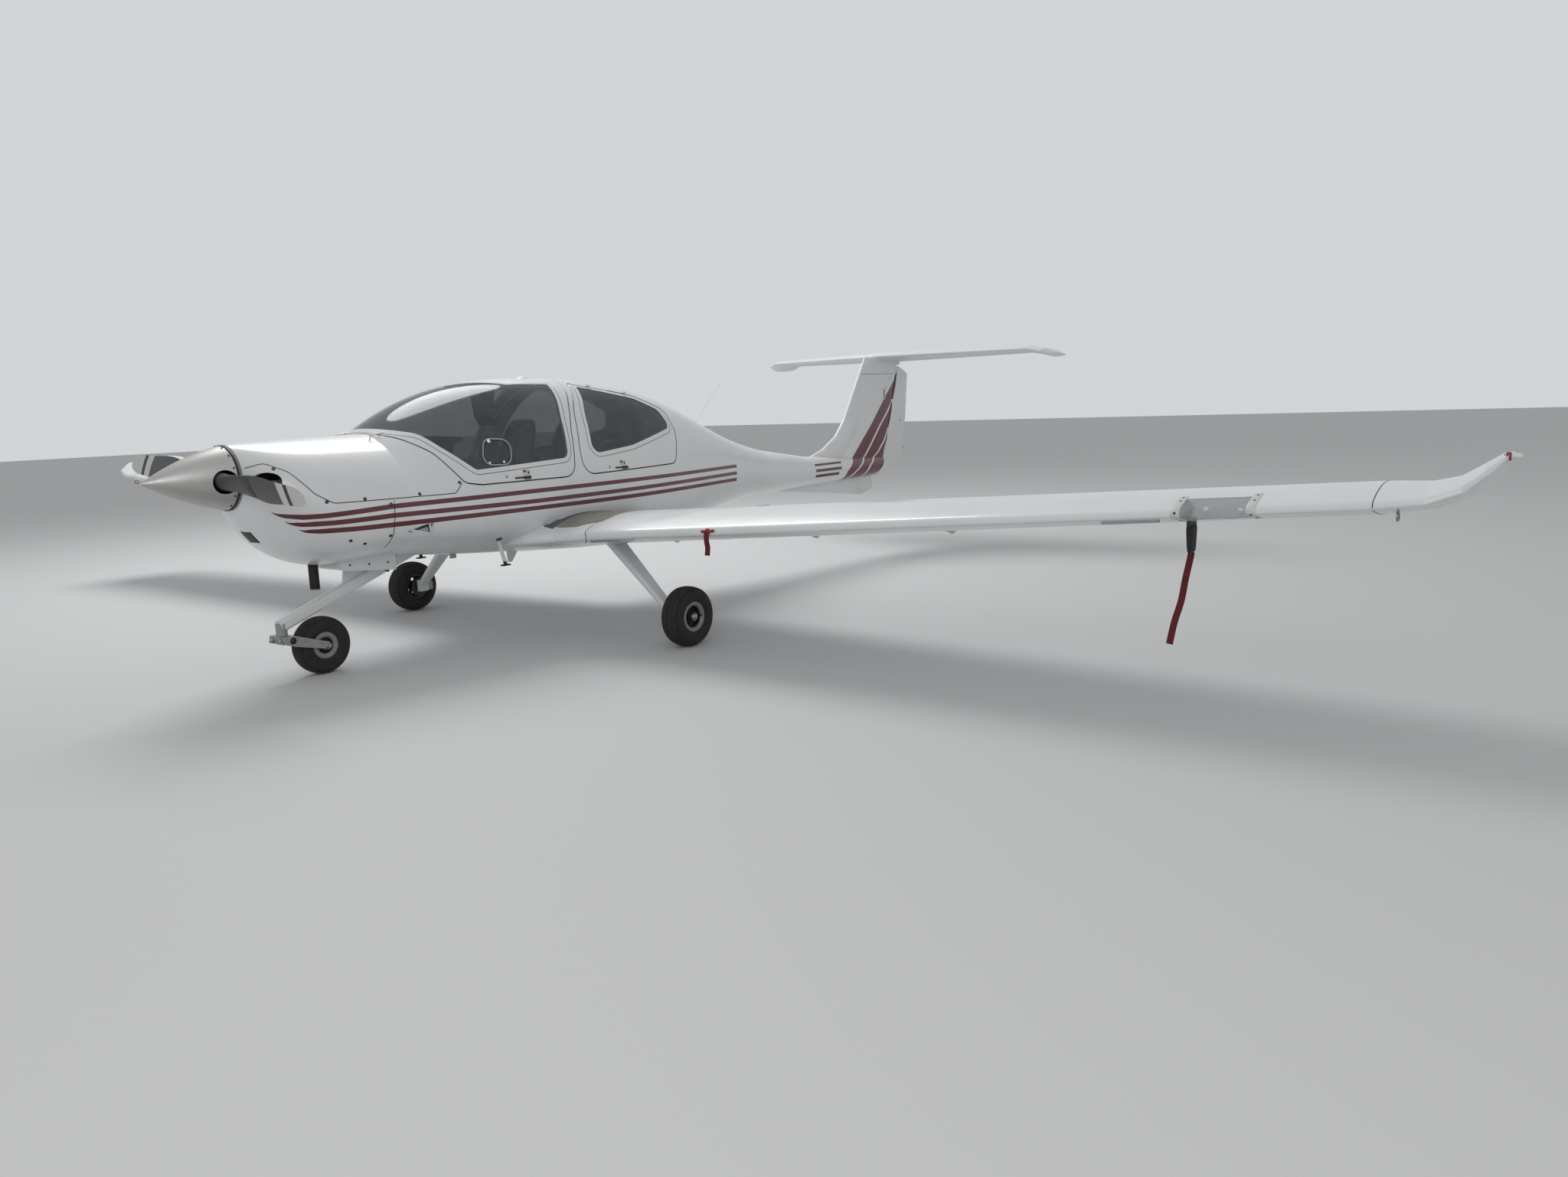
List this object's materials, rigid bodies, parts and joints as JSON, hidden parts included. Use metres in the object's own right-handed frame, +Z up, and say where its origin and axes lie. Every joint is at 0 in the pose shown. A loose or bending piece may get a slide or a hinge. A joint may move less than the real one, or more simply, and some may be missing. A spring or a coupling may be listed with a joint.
{
  "type": "light aircraft",
  "caption": "Light single-engined aircraft with low wing, upturned tips, T tail, castering nose wheel, forward-tilting canopy and rear door.",
  "frame": {"origin": "on the ground under the middle of the aircraft's length and span", "axes": "+X aft, towards the tail; +Y to starboard; +Z up"},
  "size_m": [8.01, 11.9398, 1.99],
  "materials": {
    "white_paint": "gloss",
    "clear_pane": "tinted clear",
    "dark_trim": "matt",
    "upholstery": "grained",
    "aluminium": "cast",
    "bright_metal": "polished",
    "steel": "plain",
    "grey_paint": "semi-gloss",
    "tyre": "worn",
    "propeller_paint": "matt",
    "carpet": "woven",
    "lamp_lens": "coloured and clear"
  },
  "bodies": {
    "airframe": {"air_outlet_fairing": "white_paint", "antennas": "white_paint", "brake_caliper_port": "steel", "brake_caliper_starboard": "steel", "cabin_floor": "carpet", "canopy_hinge_brackets": "white_paint", "control_sticks": "dark_trim", "door_hinge_brackets": "white_paint", "engine_block": "aluminium", "entry_steps": "white_paint", "exhaust_pipe": "steel", "fin": "white_paint", "front_seat_port": "upholstery", "front_seat_starboard": "upholstery", "fuselage_shell": "white_paint", "instrument_panel": "dark_trim", "landing_lamps_port": "bright_metal", "landing_lamps_starboard": "bright_metal", "landing_light_lens_port": "clear_pane", "landing_light_lens_starboard": "clear_pane", "lower_cowl": "white_paint", "main_leg_port": "white_paint", "main_leg_starboard": "white_paint", "nose_caster_housing": "white_paint", "nose_leg": "white_paint", "pitot_mast": "dark_trim", "rear_seat": "upholstery", "rear_window_starboard": "clear_pane", "stabiliser": "white_paint", "tie_down_eyes": "steel", "tip_lights": "lamp_lens", "upper_cowl": "white_paint", "ventral_fin": "white_paint", "wing_port": "white_paint", "wing_starboard": "white_paint", "wing_tip_port": "white_paint", "wing_tip_starboard": "white_paint"},
    "propeller": {"spinner": "bright_metal", "propeller": "propeller_paint"},
    "nose_fork": {"nose_fork": "white_paint"},
    "nose_wheel": {"nose_wheel": "grey_paint", "nose_tyre": "tyre"},
    "main_wheel_port": {"main_wheel_port": "aluminium", "main_tyre_port": "tyre"},
    "main_wheel_starboard": {"main_wheel_starboard": "aluminium", "main_tyre_starboard": "tyre"},
    "canopy": {"canopy_frame": "white_paint", "canopy_glass": "clear_pane", "canopy_hinge_eyes": "white_paint"},
    "rear_door": {"rear_door_frame": "white_paint", "rear_door_glass": "clear_pane", "door_hinge_eyes": "white_paint"},
    "flap_port": {"flap_port": "white_paint"},
    "flap_starboard": {"flap_starboard": "white_paint"},
    "aileron_port": {"aileron_port": "white_paint"},
    "aileron_starboard": {"aileron_starboard": "white_paint"},
    "elevator": {"elevator": "white_paint", "trim_tab": "white_paint"},
    "rudder": {"rudder": "white_paint"}
  },
  "joints": [
    {"name": "propeller_spin", "type": "hinge", "parent": "airframe", "child": "propeller", "pos_m": [-3.617, 0, 1.217], "axis": [1, 0, 0], "continuous": true},
    {"name": "nose_caster", "type": "hinge", "parent": "airframe", "child": "nose_fork", "pos_m": [-3.303, 0, 0.272], "axis": [0, 0, 1], "range_deg": [-30, 30]},
    {"name": "nose_wheel_spin", "type": "hinge", "parent": "nose_fork", "child": "nose_wheel", "pos_m": [-3.061, 0, 0.175], "axis": [0, 1, 0], "continuous": true},
    {"name": "main_wheel_port_spin", "type": "hinge", "parent": "airframe", "child": "main_wheel_port", "pos_m": [-1.381, -1.47, 0.193], "axis": [0, 1, 0], "continuous": true},
    {"name": "main_wheel_starboard_spin", "type": "hinge", "parent": "airframe", "child": "main_wheel_starboard", "pos_m": [-1.381, 1.47, 0.193], "axis": [0, 1, 0], "continuous": true},
    {"name": "canopy_tilt", "type": "hinge", "parent": "airframe", "child": "canopy", "pos_m": [-2.713, 0, 1.42], "axis": [0, -1, 0], "range_deg": [0, 48]},
    {"name": "rear_door_lift", "type": "hinge", "parent": "airframe", "child": "rear_door", "pos_m": [-1.075, -0.212, 1.713], "axis": [-0.9862, 0.045, 0.1592], "range_deg": [0, 72]},
    {"name": "flap_starboard_turn", "type": "hinge", "parent": "airframe", "child": "flap_starboard", "pos_m": [-0.74037, 0.63945, 0.56924], "axis": [-0.055, 0.9959, 0.0724], "range_deg": [0, 42]},
    {"name": "aileron_starboard_turn", "type": "hinge", "parent": "airframe", "child": "aileron_starboard", "pos_m": [-0.82752, 3.33, 0.85784], "axis": [-0.0596, 0.9959, 0.0678], "range_deg": [-25, 15]},
    {"name": "flap_port_turn", "type": "hinge", "parent": "airframe", "child": "flap_port", "pos_m": [-0.88511, -3.25945, 0.75961], "axis": [0.055, 0.9959, -0.0724], "range_deg": [0, 42]},
    {"name": "aileron_port_turn", "type": "hinge", "parent": "airframe", "child": "aileron_port", "pos_m": [-0.94905, -5.36, 0.99602], "axis": [0.0596, 0.9959, -0.0678], "range_deg": [-25, 15]},
    {"name": "elevator_turn", "type": "hinge", "parent": "airframe", "child": "elevator", "pos_m": [3.785, 0, 1.94], "axis": [0, 1, 0], "range_deg": [-15.5, 13]},
    {"name": "rudder_turn", "type": "hinge", "parent": "airframe", "child": "rudder", "pos_m": [3.145, 0, 0.79], "axis": [0.3258, 0, 0.9454], "range_deg": [-28, 28]}
  ],
  "couplings": [
    {"joint": "flap_port_turn", "follows": "flap_starboard_turn", "ratio": 1}
  ]
}
